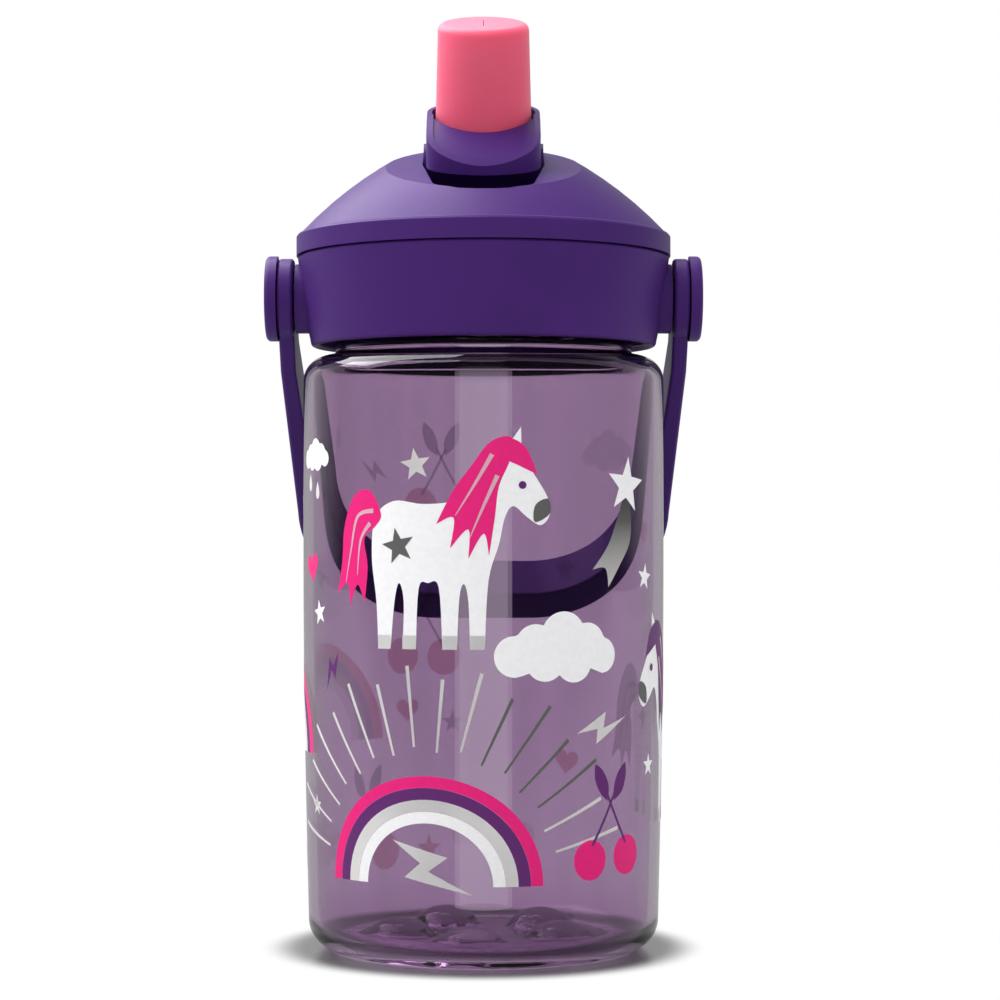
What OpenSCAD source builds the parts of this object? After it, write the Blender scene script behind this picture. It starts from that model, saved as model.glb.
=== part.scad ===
// Kids water bottle: clear screw-neck body, domed lid with a flip-up straw spout, and a swinging carry handle.
// Millimetres, +Z up, origin on the bottle's axis at the surface that it stands on.
// The drinker is on the -Y side. The spout is open, and the handle hangs behind, on the +Y side.

/* [Bottle] */
// Outer radius of the body just under the shoulder
body_r = 36.4; // [35.6:0.1:36.6]
// Outer radius of the body just above the base corner
base_r = 35.3; // [34:0.1:35.5]
// Wall thickness of the body
wall = 2; // [1.6:0.1:2.4]
// Height of the shoulder, where the neck starts
shoulder_z = 119.2; // [119:0.1:119.6]
// Radius of the rounded shoulder
shoulder_round = 5; // [4:0.5:5]
// Radius of the rounded base corner
base_round = 6; // [4:0.5:7]

/* [Neck] */
// Outer radius of the neck at the thread's root
neck_r = 30; // [29.8:0.1:30.2]
// Height of the mouth's rim
neck_top = 133.6; // [133.4:0.1:133.6]
// Rise of the lid in one turn
thread_pitch = 4; // [3.8:0.1:4.2]
// Turns of thread on the neck and in the lid
thread_turns = 1.5; // [1.25:0.25:1.5]

/* [Lid] */
// Outer radius of the screw collar at its top
collar_top_r = 37.5; // [37.2:0.1:37.6]
// Outer radius of the screw collar at its bottom
collar_bottom_r = 35.3; // [35.1:0.1:36]
// Height of the collar's lower edge
collar_z = 121.2; // [121:0.1:121.4]
// Height of the seam between the collar and the dome
seam_z = 139.4; // [139.4:0.1:139.6]
// Outer radius of the dome at its base
dome_r = 37.8; // [37.6:0.1:37.8]
// Forward slope of the flat facet round the spout
facet_slope = 18; // [16:1:20]

/* [Spout] */
// Forward lean of the open spout
spout_lean = 20; // [18:1:22]
// Distance from the hinge axis to the tip of the mouthpiece
spout_reach = 29.8; // [28:0.1:30]
// Outer radius of the mouthpiece at its foot
mouthpiece_foot_r = 9.7; // [9.5:0.1:9.8]
// Outer radius of the mouthpiece near its tip
mouthpiece_tip_r = 9.1; // [8.8:0.1:9.3]

/* [Straw] */
// Outer radius of the straw
straw_r = 5.8; // [5.5:0.1:5.9]
// Wall thickness of the straw
straw_wall = 0.9; // [0.7:0.1:1]
// Height of the straw's lower end
straw_foot_z = 8; // [7:0.5:12]

/* [Handle] */
// Outer half width of the handle
handle_half_w = 41.4; // [41.2:0.1:41.6]
// Thickness of the handle's arms
arm_t = 3.15; // [3:0.05:3.2]
// Thickness of the handle's grip
grip_t = 7; // [6:0.5:7.5]
// Width of the handle's band
band_w = 12.2; // [11.6:0.1:12.4]
// Length from the pivot to the outside of the grip
handle_reach = 79.3; // [78.8:0.1:80]
// Angle of the hanging handle behind the vertical
handle_hang = 38; // [37.5:0.5:39]

/* [Hidden] */
$fn = 96;
eps = 0.01;
big = 200;

tritan = [0.56, 0.44, 0.62, 0.45];
lid_purple = [0.42, 0.27, 0.62];
spout_pink = [0.85, 0.33, 0.45];
straw_clear = [0.8, 0.8, 0.84, 0.6];
silicone = [0.86, 0.86, 0.88];

// Body and base
floor_t = 1.8;
foot_ring_r = 25;
foot_recess = 0.8;
lobes = 5;
lobe_at = 17;
lobe_r = 6;
lobe_z = -1.6;
lobe_turn = 0.63;
wall_steps = 8;

// Neck and thread
neck_bore_r = 28.2;
thread_h = 1.9;
thread_root_w = 1.6;
thread_crest_w = 0.9;
thread_start_z = 124.4;
thread_steps = 36;
thread_sunk = 0.5;
thread_lead = 5;

// Lid stack, from the bottom up
collar_bore_r = 33.2;
collar_thread_h = 2.2;
gasket_t = 1.1;
gasket_in_r = 27.4;
gasket_out_r = 31.2;
deck_z = neck_top + gasket_t + 0.1;
deck_t = 2.2;
deck_r = 32.9;
ledge_in_r = 31.6;
ledge_t = 0.8;
spigot_z = deck_z + deck_t + 0.1;
spigot_r = 35.1;
spigot_wall = 1.8;
dome_wall = 2;
dome_band_z = 143.2;
dome_arc_r = 80;
dome_arc_off = 21.6;
dome_arc_z = 89.35;
dome_steps = 12;
facet_z = 159.75;

// Slot and well that the spout stands and folds in
hinge_z = 157;
slot_half_w = 12.2;
slot_wall = 2.3;
well_floor_z = 144.2;
well_floor_t = 1.8;
well_front_y = -8;
scoop_r = 21;
scoop_y = -20;
scoop_z = 166.6;
scoop_end_r = 19.5;
scoop_front_y = -31.2;
scoop_corner_r = 3.5;
scoop_corner_x = 6.4;
scoop_corner_y = -26;

// Port between the straw and the hub
hub_r = 5.6;
port_channel_r = 3.6;
seal_r = 6.2;
seal_shoulder_z = 149.8;
seal_lip_r = 4.6;
seal_top_z = 152.4;
seal_gap = 0.05;
coupler_flange_r = 9;
coupler_flange_t = 1.4;
coupler_top_z = 143;
coupler_foot_z = 124;
vent_x = 15;
vent_y = 16;
vent_r = 2.4;

// Spout carrier, in its own frame: y back from the hinge, z along the mouthpiece
trunnion_r = 1.75;
trunnion_tip = 13.6;
trunnion_gap = 0.06;
ear_r = 5.4;
ear_gap = 0.15;
hub_channel_r = 2.8;
hub_neck_r = 4.2;
cheek_x = 7.2;
cheek_round = 4;
tray_half_w = 11.3;
tray_front_y = -20;
tray_front_arc_r = 15.5;
tray_corner_r = 6.5;
tray_rear_y = 11.2;
tray_rear_round = 11.2;
tray_under_z = 3.45;
tray_rear_under_z = 7.2;
tray_top_z = 12;
tray_top_y = -1;
tray_arc_r = 30.4;
arch_steps = 24;
rim_t = 1.3;
dish_depth = 0.6;
stem_r = 6.6;
stem_foot_z = 5.5;
stem_top_z = 24;
stem_bore_r = 4.4;
groove_gap = 0.7;
foot_z = 8.4;
sleeve_gap = 0.05;
tip_t = 2.2;
tip_round = 1.5;
slit_w = 0.15;
slit_l = 7;

// Handle and its pivots
pivot_z = 131;
boss_r = 7;
boss_face = 37.9;
eye_r = 8.1;
arm_straight = 14;
arm_slant = 2;
bend_r = 29;
bend_in_r = 25;
pin_r = 3.5;
pin_gap = 0.06;
pin_in = 34.6;
disc_r = 8.6;
disc_t = 2.35;
disc_face = 43.9;
disc_round = 0.9;

function arc(c, r, from, to, n = 8) =
    [for (i = [0 : n]) let (a = from + (to - from) * i / n) [c[0] + r * cos(a), c[1] + r * sin(a)]];

function mix(a, b, t) = a + (b - a) * t;

// Body radius at a height: a gentle taper that fades out two thirds of the way up
function body_radius_at(z) = base_r + (body_r - base_r) * sin(90 * min(1, (z - base_round) / 72));

// Body wall, from the base corner up to the shoulder, moved in by a wall thickness
function wall_line(inset) = [for (i = [0 : wall_steps]) let (z = mix(base_round, 78, i / wall_steps))
    [body_radius_at(z) - inset, z]];

// Dome outline above its upright band, from the rim to the axis
function dome_height_at(r) = dome_arc_z + sqrt(pow(dome_arc_r, 2) - pow(r + dome_arc_off, 2));
function dome_line(from_r, drop) = [for (i = [0 : dome_steps]) let (r = mix(from_r, 0, i / dome_steps))
    [r, dome_height_at(r) - drop]];

// Carrier's top face: level behind, and an arc down to the front
function tray_height_at(y) =
    tray_top_z - tray_arc_r + sqrt(pow(tray_arc_r, 2) - pow(min(0, y - tray_top_y), 2));

// Screw thread: a ridge whose height grows from nothing at both ends
module helix(root_r, crest_r, z, turns) {
    n = round(turns * thread_steps);
    sunk = crest_r > root_r ? -thread_sunk : thread_sunk;
    rings = [for (i = [0 : n]) let (
            a = 360 * i / thread_steps,
            h = z + thread_pitch * i / thread_steps,
            grow = max(0.2, min(1, i / thread_lead, (n - i) / thread_lead)),
            r = mix(root_r, crest_r, grow))
        for (p = [[root_r + sunk, -thread_root_w / 2], [r, -thread_crest_w / 2],
                [r, thread_crest_w / 2], [root_r + sunk, thread_root_w / 2]])
            [p[0] * cos(a), p[0] * sin(a), h + p[1]]];
    sides = [for (i = [0 : n - 1], j = [0 : 3]) let (k = (j + 1) % 4)
        each [[4 * i + j, 4 * i + k, 4 * i + 4 + j], [4 * i + k, 4 * i + 4 + k, 4 * i + 4 + j]]];
    ends = [[0, 3, 2], [0, 2, 1], [4 * n, 4 * n + 1, 4 * n + 2], [4 * n, 4 * n + 2, 4 * n + 3]];
    faces = concat(sides, ends);
    outward = crest_r > root_r;
    polyhedron(rings, outward ? faces : [for (f = faces) [f[2], f[1], f[0]]]);
}

module along_x(r, from, to) {
    translate([from, 0, 0])
        rotate([0, 90, 0])
            cylinder(r = r, h = to - from);
}

// ---- Bottle ----

module body_shell() {
    outer = concat(
        [[foot_ring_r, 0]],
        arc([base_r - base_round, base_round], base_round, -90, 0),
        wall_line(0),
        arc([body_r - shoulder_round, shoulder_z - shoulder_round], shoulder_round, 0, 90),
        [[neck_r, shoulder_z], [neck_r, neck_top - 0.6], [neck_r - 0.6, neck_top],
            [neck_bore_r + 0.4, neck_top], [neck_bore_r, neck_top - 0.4]]);
    inner = concat(
        [[neck_bore_r, shoulder_z - wall]],
        arc([body_r - shoulder_round, shoulder_z - shoulder_round], shoulder_round - wall, 90, 0),
        [for (i = [wall_steps : -1 : 0]) wall_line(wall)[i]],
        arc([base_r - base_round, base_round + foot_recess + floor_t - wall], base_round - wall, 0, -90),
        [[0, foot_recess + floor_t], [0, foot_recess], [foot_ring_r - 1, foot_recess]]);
    rotate_extrude()
        polygon(concat(outer, inner));
}

module base_lobes(r) {
    for (i = [0 : lobes - 1])
        rotate(360 * (i + lobe_turn) / lobes)
            translate([lobe_at, 0, lobe_z])
                sphere(r = r);
}

module bottle_body() {
    color(tritan) {
        difference() {
            union() {
                body_shell();
                intersection() {
                    base_lobes(lobe_r + floor_t);
                    translate([0, 0, foot_recess])
                        cylinder(r = base_r - base_round, h = 8);
                }
            }
            base_lobes(lobe_r);
        }
        helix(neck_r, neck_r + thread_h, thread_start_z, thread_turns);
    }
}

// ---- Lid ----

module neck_gasket() {
    color(silicone)
        translate([0, 0, neck_top + 0.05])
            difference() {
                cylinder(r = gasket_out_r, h = gasket_t);
                translate([0, 0, -eps])
                    cylinder(r = gasket_in_r, h = gasket_t + 2 * eps);
            }
}

module collar_ring() {
    top = seam_z - 0.15;
    rotate_extrude()
        polygon(concat(
            [[collar_bore_r, collar_z + 0.6], [collar_bore_r + 0.6, collar_z]],
            arc([collar_bottom_r - 1.2, collar_z + 0.8], 0.8, -90, 0, 5),
            [[collar_bottom_r, collar_z + 2.8], [collar_top_r, top - 0.4], [collar_top_r - 0.4, top],
                [collar_bore_r, top], [collar_bore_r, deck_z - 0.05], [ledge_in_r, deck_z - 0.05],
                [ledge_in_r, deck_z - ledge_t], [collar_bore_r, deck_z - ledge_t - 1.2]]));
}

module lid_collar() {
    color(lid_purple)
        difference() {
            union() {
                collar_ring();
                helix(collar_bore_r, collar_bore_r - collar_thread_h,
                    thread_start_z - thread_pitch / 2, thread_turns);
                for (side = [-1, 1])
                    scale([side, 1, 1])
                        translate([0, 0, pivot_z])
                            along_x(boss_r, collar_bore_r + 0.6, boss_face);
            }
            // Seat of the dome's spigot
            translate([0, 0, spigot_z - 0.1])
                cylinder(r = spigot_r + 0.1, h = big);
            for (side = [0, 180])
                rotate(side)
                    translate([0, 0, pivot_z])
                        along_x(pin_r + pin_gap, pin_in - 0.2, big);
        }
}

module lid_deck() {
    color(lid_purple)
        difference() {
            translate([0, 0, deck_z])
                cylinder(r = deck_r, h = deck_t);
            translate([0, 0, deck_z - eps])
                cylinder(r = straw_r - straw_wall + 0.4, h = deck_t + 2 * eps);
            translate([vent_x, vent_y, deck_z - eps])
                cylinder(r = vent_r / 2 + 0.1, h = deck_t + 2 * eps);
        }
}

module dome_solid() {
    rotate_extrude()
        polygon(concat([[0, seam_z], [dome_r, seam_z], [dome_r, dome_band_z], [dome_r - 0.3, dome_band_z + 0.4]],
            dome_line(dome_r - 0.8, 0)));
}

module dome_hollow() {
    rotate_extrude()
        polygon(concat([[0, seam_z - 1], [dome_r - dome_wall - 1, seam_z - 1],
            [dome_r - dome_wall - 1, dome_band_z - 1.2]], dome_line(dome_r - dome_wall - 1.6, 2.6)));
}

module slot_cut() {
    translate([-slot_half_w, well_front_y, well_floor_z])
        cube([2 * slot_half_w, big, big]);
}

// Plan outline of the scoop: as wide as the slot behind, narrowing to a rounded front
module scoop_plan() {
    hull() {
        translate([-slot_half_w, well_front_y])
            square([2 * slot_half_w, 10]);
        for (side = [-1, 1])
            translate([side * scoop_corner_x, scoop_corner_y])
                circle(r = scoop_corner_r);
        polygon(arc([0, scoop_front_y + scoop_end_r], scoop_end_r, -105, -75, 6));
    }
}

module scoop_cut() {
    intersection() {
        translate([0, scoop_y, scoop_z])
            along_x(scoop_r, -slot_half_w, slot_half_w);
        translate([0, 0, well_floor_z])
            linear_extrude(height = big)
                scoop_plan();
    }
}

module lid_dome() {
    color(lid_purple)
        difference() {
            union() {
                difference() {
                    dome_solid();
                    dome_hollow();
                }
                intersection() {
                    dome_solid();
                    translate([-slot_half_w - slot_wall, scoop_front_y - 1.5, well_floor_z - well_floor_t])
                        cube([2 * (slot_half_w + slot_wall), big, big]);
                }
                translate([0, 0, spigot_z])
                    difference() {
                        cylinder(r = spigot_r, h = seam_z - spigot_z + 1);
                        translate([0, 0, -eps])
                            cylinder(r = spigot_r - spigot_wall, h = seam_z - spigot_z + 2);
                    }
            }
            slot_cut();
            scoop_cut();
            translate([0, 0, facet_z])
                rotate([facet_slope, 0, 0])
                    translate([-big / 2, -big / 2, 0])
                        cube([big, big, big]);
            translate([0, 0, well_floor_z - well_floor_t - 1])
                cylinder(r = seal_r + 0.1, h = 10);
            translate([0, 0, hinge_z])
                along_x(trunnion_r + trunnion_gap, -trunnion_tip - 0.2, trunnion_tip + 0.2);
        }
}

// ---- Valve, port and straw ----

module vent_valve() {
    color(silicone)
        translate([vent_x, vent_y, 0]) {
            translate([0, 0, deck_z + deck_t + 0.02])
                cylinder(r1 = vent_r + 0.8, r2 = vent_r, h = 0.9);
            translate([0, 0, deck_z - 1.5])
                cylinder(r = vent_r / 2, h = deck_t + 2);
            translate([0, 0, deck_z - 1.9])
                cylinder(r1 = 0.8, r2 = vent_r / 2 + 0.5, h = 1.6);
        }
}

module straw_coupler() {
    color(straw_clear)
        difference() {
            union() {
                translate([0, 0, deck_z + deck_t + 0.02])
                    cylinder(r = coupler_flange_r, h = coupler_flange_t);
                translate([0, 0, coupler_foot_z])
                    cylinder(r = straw_r - straw_wall - sleeve_gap, h = coupler_top_z - coupler_foot_z);
            }
            translate([0, 0, coupler_foot_z - eps])
                cylinder(r = port_channel_r, h = big);
        }
}

module port_seal() {
    foot = deck_z + deck_t + coupler_flange_t + 0.05;
    color(silicone)
        difference() {
            union() {
                translate([0, 0, foot])
                    cylinder(r = seal_lip_r, h = seal_top_z - foot);
                translate([0, 0, foot])
                    cylinder(r = seal_r, h = seal_shoulder_z - foot);
                translate([0, 0, foot])
                    cylinder(r = coupler_flange_r, h = well_floor_z - well_floor_t - foot - 0.05);
            }
            translate([0, 0, foot - eps])
                cylinder(r = straw_r - straw_wall + sleeve_gap, h = coupler_top_z - foot + 0.1);
            cylinder(r = hub_channel_r, h = big);
            translate([0, 0, hinge_z])
                along_x(hub_r + seal_gap, -big, big);
        }
}

module straw() {
    top = deck_z - 0.1;
    color(straw_clear)
        translate([0, 0, straw_foot_z])
            difference() {
                cylinder(r = straw_r, h = top - straw_foot_z);
                translate([0, 0, -eps])
                    cylinder(r = straw_r - straw_wall, h = big);
            }
}

// ---- Spout ----

module in_spout_frame() {
    translate([0, 0, hinge_z])
        rotate([spout_lean, 0, 0])
            children();
}

// Plan outline of the tray, moved in by an inset
module tray_plan(inset) {
    w = tray_half_w - inset;
    arc_r = tray_front_arc_r - inset;
    front = tray_front_y + tray_front_arc_r;
    corner = tray_corner_r - inset;
    // The corner's centre lies where it touches both the side and the front arc
    corner_x = w - corner;
    corner_y = front - sqrt(pow(arc_r - corner, 2) - pow(corner_x, 2));
    turn = atan2(front - corner_y, corner_x);
    round_r = tray_rear_round - inset;
    rear = tray_rear_y - inset;
    right = concat(
        arc([0, front], arc_r, -90, -turn, 8),
        arc([corner_x, corner_y], corner, -turn, 0, 10),
        arc([w - round_r, rear - round_r], round_r, 0, 90, 12));
    left = [for (i = [len(right) - 1 : -1 : 0]) [-right[i][0], right[i][1]]];
    polygon(concat(right, left));
}

// A side view, drawn as y and z, run across from one x to another
module across(from, to, points) {
    rotate([90, 0, 90])
        translate([0, 0, from])
            linear_extrude(height = to - from)
                polygon(points);
}

// Everything under the tray's arched top face, lowered by a drop
module under_arch(drop) {
    across(-big / 2, big / 2, concat(
        [for (i = [0 : arch_steps]) let (y = mix(tray_rear_y + 2, tray_front_y - 2, i / arch_steps))
            [y, tray_height_at(y) - drop]],
        [[tray_front_y - 2, -20], [tray_rear_y + 2, -20]]));
}

module plan_column(inset) {
    translate([0, 0, -20])
        linear_extrude(height = 60)
            tray_plan(inset);
}

// The tray's space seen from the side: low in front and high behind the hub, clear of the folded seal,
// with a cheek down each side of the hub
module tray_space() {
    across(-big / 2, big / 2, [
        [tray_front_y - 1, tray_under_z], [-hub_r - 1.4, tray_under_z], [-hub_neck_r, 0], [hub_neck_r, 0],
        [hub_neck_r, stem_foot_z + 0.4], [stem_r + 0.5, tray_rear_under_z],
        [tray_rear_y + 1, tray_rear_under_z],
        [tray_rear_y + 1, 30], [tray_front_y - 1, 30]]);
    for (x = [cheek_x, -tray_half_w - 1])
        across(x, x + tray_half_w + 1 - cheek_x, concat(
            [[0, 0.3]],
            arc([tray_rear_y + 0.4 - cheek_round, cheek_round + 0.3], cheek_round, -90, 0, 6),
            [[tray_rear_y + 0.4, tray_rear_under_z + 1], [0, tray_rear_under_z + 1]]));
}

module tray() {
    difference() {
        intersection() {
            plan_column(0);
            under_arch(0);
            tray_space();
        }
        // Dished face inside the rim
        difference() {
            plan_column(rim_t);
            under_arch(dish_depth);
        }
        // Groove round the mouthpiece's foot
        translate([0, 0, foot_z])
            cylinder(r = mouthpiece_foot_r + groove_gap, h = 20);
    }
}

module hub_and_trunnions() {
    ear = slot_half_w - ear_gap;
    along_x(hub_r, -tray_half_w, tray_half_w);
    along_x(ear_r, -ear, ear);
    along_x(trunnion_r, -trunnion_tip, trunnion_tip);
}

module spout_carrier() {
    color(lid_purple)
        in_spout_frame()
            difference() {
                union() {
                    tray();
                    hub_and_trunnions();
                    translate([0, 0, stem_foot_z])
                        cylinder(r = stem_r, h = stem_top_z - stem_foot_z);
                }
                // The channel turns inside the hub, round a small ball
                sphere(r = hub_channel_r + 0.4);
                cylinder(r = hub_channel_r, h = big);
                translate([0, 0, foot_z])
                    cylinder(r = stem_bore_r, h = big);
                rotate([-spout_lean, 0, 0])
                    translate([0, 0, -big])
                        cylinder(r = hub_channel_r, h = big);
            }
}

module mouthpiece() {
    inside_r = stem_r + sleeve_gap;
    round_z = spout_reach - tip_round;
    color(spout_pink)
        in_spout_frame()
            difference() {
                rotate_extrude()
                    polygon(concat(
                        [[inside_r, foot_z + 0.1], [mouthpiece_foot_r, foot_z + 0.1], [mouthpiece_tip_r, round_z]],
                        arc([mouthpiece_tip_r - tip_round, round_z], tip_round, 0, 90, 10),
                        [[0, spout_reach], [0, spout_reach - tip_t], [inside_r - 1, spout_reach - tip_t],
                            [inside_r, spout_reach - tip_t - 1]]));
                translate([-slit_w / 2, -slit_l / 2, spout_reach - tip_t - 1])
                    cube([slit_w, slit_l, 2 * tip_t]);
            }
}

// ---- Handle ----

// Loop outline in its own plane: x across, y away from the pivot. The arms run straight past the lid,
// lean in a little, and bend into the grip, which is thicker.
function mirrored(right) = concat(right, [for (i = [len(right) - 1 : -1 : 0]) [-right[i][0], right[i][1]]]);

module loop_plan() {
    bend_x = handle_half_w - arm_slant - bend_r;
    difference() {
        polygon(mirrored(concat(
            [[handle_half_w, 0], [handle_half_w, arm_straight]],
            arc([bend_x, handle_reach - bend_r], bend_r, 0, 90, 24))));
        polygon(mirrored(concat(
            [[handle_half_w - arm_t, -1], [handle_half_w - arm_t, arm_straight]],
            arc([bend_x, handle_reach - grip_t - bend_in_r], bend_in_r, 0, 90, 24))));
    }
}

module handle_eye() {
    rotate([0, 90, 0])
        cylinder(r = eye_r, h = arm_t);
}

module handle() {
    color(lid_purple)
        translate([0, 0, pivot_z])
            rotate([handle_hang - 90, 0, 0])
                difference() {
                    union() {
                        translate([0, 0, -band_w / 2])
                            linear_extrude(height = band_w)
                                loop_plan();
                        for (x = [handle_half_w - arm_t, -handle_half_w])
                            translate([x, 0, 0])
                                handle_eye();
                    }
                    along_x(pin_r + pin_gap, -big, big);
                }
}

module handle_pivot() {
    color(lid_purple)
        translate([0, 0, pivot_z])
            rotate([0, 90, 0]) {
                translate([0, 0, pin_in])
                    cylinder(r = pin_r, h = disc_face - disc_t - pin_in + eps);
                translate([0, 0, disc_face - disc_t])
                    rotate_extrude()
                        polygon(concat([[0, 0], [disc_r, 0]],
                            arc([disc_r - disc_round, disc_t - disc_round], disc_round, 0, 90, 5),
                            [[0, disc_t]]));
            }
}

module handle_pivot_right() {
    handle_pivot();
}

module handle_pivot_left() {
    rotate(180)
        handle_pivot();
}

bottle_body();
neck_gasket();
lid_collar();
lid_deck();
lid_dome();
vent_valve();
port_seal();
straw_coupler();
straw();
spout_carrier();
mouthpiece();
handle();
handle_pivot_left();
handle_pivot_right();
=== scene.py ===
"""Kids water bottle: clear printed body, satin purple lid, soft pink mouthpiece, on a white studio floor."""

import math

import bmesh
import bpy
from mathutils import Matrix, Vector
from mathutils.geometry import tessellate_polygon


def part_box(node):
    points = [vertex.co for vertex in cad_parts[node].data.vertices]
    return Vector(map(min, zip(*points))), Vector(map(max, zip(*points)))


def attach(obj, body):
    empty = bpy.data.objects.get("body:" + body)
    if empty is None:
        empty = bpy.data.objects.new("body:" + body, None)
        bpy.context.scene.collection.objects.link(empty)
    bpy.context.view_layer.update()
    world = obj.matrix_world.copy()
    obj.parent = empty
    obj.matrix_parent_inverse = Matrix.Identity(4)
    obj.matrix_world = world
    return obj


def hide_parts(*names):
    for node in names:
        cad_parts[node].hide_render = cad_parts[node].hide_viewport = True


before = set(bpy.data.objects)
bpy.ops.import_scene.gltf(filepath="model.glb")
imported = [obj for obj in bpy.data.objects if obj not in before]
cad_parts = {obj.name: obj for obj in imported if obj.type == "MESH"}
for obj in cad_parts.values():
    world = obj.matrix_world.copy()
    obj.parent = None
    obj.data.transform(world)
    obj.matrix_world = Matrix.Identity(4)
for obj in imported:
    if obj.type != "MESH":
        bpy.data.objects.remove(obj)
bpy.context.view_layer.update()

MM = 0.001

# ---- Sizes of the body, as in the CAD, in millimetres ----

BODY_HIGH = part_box("bottle_body")[1]
BODY_R = BODY_HIGH.x / MM
NECK_TOP = BODY_HIGH.z / MM
BASE_R = 35.3
BASE_ROUND = 6
TAPER_TOP = 78
WALL = 2
SHOULDER_Z = 119.2
SHOULDER_ROUND = 5
NECK_R = 30
NECK_BORE_R = 28.2
THREAD_START = 124.4
THREAD_PITCH = 4
THREAD_TURNS = 1.5
THREAD_H = 1.9
THREAD_HALF_W = 0.8
THREAD_LEAD = 0.12
THREAD_FLANK = 1.7
FOOT_R = 25
FOOT_RECESS = 0.8
FLOOR_T = 1.8
LOBES = 5
LOBE_AT = 17
LOBE_R = 6.6
LOBE_H = 3.7
LOBE_BLUNT = 0.55
LOBE_TURN = 0.63
FILLET_R = 0.8
RIM_OUT_R = 0.6
RIM_IN_R = 0.4
# Gaps that the neck's rings leave above the shoulder and below the rim, and the rings down its bore
NECK_GAPS = (1.2, 0.8)
BORE_RINGS = (131, 127, 123)
ROUND_STEPS = 192
NECK_STEPS = 48
# Angle in degrees from which an edge of the body is sharp
SHELL_SHARP = 50


def arc(cx, cy, r, start, end, steps):
    """Points on an arc, from one angle to another in degrees."""
    angles = [math.radians(start + (end - start) * i / steps) for i in range(steps + 1)]
    return [(cx + r * math.cos(a), cy + r * math.sin(a)) for a in angles]


def body_radius(z):
    """Outer radius of the body at a height: a gentle taper that fades out part of the way up."""
    share = min(1, max(0, (z - BASE_ROUND) / (TAPER_TOP - BASE_ROUND)))
    return BASE_R + (BODY_R - BASE_R) * math.sin(share * math.pi / 2)


# ---- Scene: camera, light and floor, in metres ----

LENS = 97.2
SENSOR = 36
CAMERA_AWAY = 0.547
CAMERA_UP = 0.0836
SHIFT = (0.0165, 0.033)
KEY_PLACE = (-0.26, 0.12, 0.6)
KEY_TARGET = (0, 0, 0.14)
KEY_SIDE = 0.6
KEY_POWER = 6.3
# Strength of the surroundings: as a light, and in reflections at the front and at the back
ROOM_LIGHT = 1.05
ROOM_FRONT = 0.04
ROOM_BACK = 0.55
# Directions along Y between which reflections go from the front's strength to the back's
ROOM_TURNS = (0.1, 0.7)
# How pale the floor is by distance from the bottle's axis: painted light under it, a painted shadow round its
# foot, and beyond
FLOOR_PAINTED_LIGHT_AND_SHADOW = ((0.027, 0.85), (0.031, 0.1), (0.044, 0.1), (0.06, 0.5))
FLOOR_SIDE = 6
FLOOR_ROUGH = 0.2
# Distances between which the floor turns white, and the Y between which its reflection goes from the front's
# strength to the back's
FLOOR_TURNS_WHITE = (0.035, 0.046)
FLOOR_ROOM_Y = (-0.4, 0)


def make_camera():
    data = bpy.data.cameras.new("camera")
    data.lens = LENS
    data.sensor_width = SENSOR
    data.shift_x, data.shift_y = SHIFT
    camera = bpy.data.objects.new("camera", data)
    camera.location = (0, -CAMERA_AWAY, CAMERA_UP)
    camera.rotation_euler = (math.radians(90), 0, 0)
    bpy.context.scene.collection.objects.link(camera)
    bpy.context.scene.camera = camera


def make_light():
    """One big soft light, high up on the left and a little behind the bottle."""
    data = bpy.data.lights.new("key", "AREA")
    data.shape = "RECTANGLE"
    data.size, data.size_y = KEY_SIDE, KEY_SIDE
    data.energy = KEY_POWER
    light = bpy.data.objects.new("key", data)
    light.location = KEY_PLACE
    light.rotation_euler = (Vector(KEY_TARGET) - Vector(KEY_PLACE)).to_track_quat("-Z", "Y").to_euler()
    bpy.context.scene.collection.objects.link(light)


def seen_by_eye(nodes, links):
    """The Light Path node, and a value that is 1 for rays that look at the backdrop, straight or through
    clear plastic, and 0 for those that carry light."""
    path = nodes.new("ShaderNodeLightPath")
    unmirrored = nodes.new("ShaderNodeMath")
    unmirrored.operation = "LESS_THAN"
    unmirrored.inputs[1].default_value = 0.5
    through = nodes.new("ShaderNodeMath")
    through.operation = "MULTIPLY"
    seen = nodes.new("ShaderNodeMath")
    seen.operation = "MAXIMUM"
    links.new(path.outputs["Glossy Depth"], unmirrored.inputs[0])
    links.new(path.outputs["Is Transmission Ray"], through.inputs[0])
    links.new(unmirrored.outputs[0], through.inputs[1])
    links.new(path.outputs["Is Camera Ray"], seen.inputs[0])
    links.new(through.outputs[0], seen.inputs[1])
    return path, seen.outputs[0]


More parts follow.
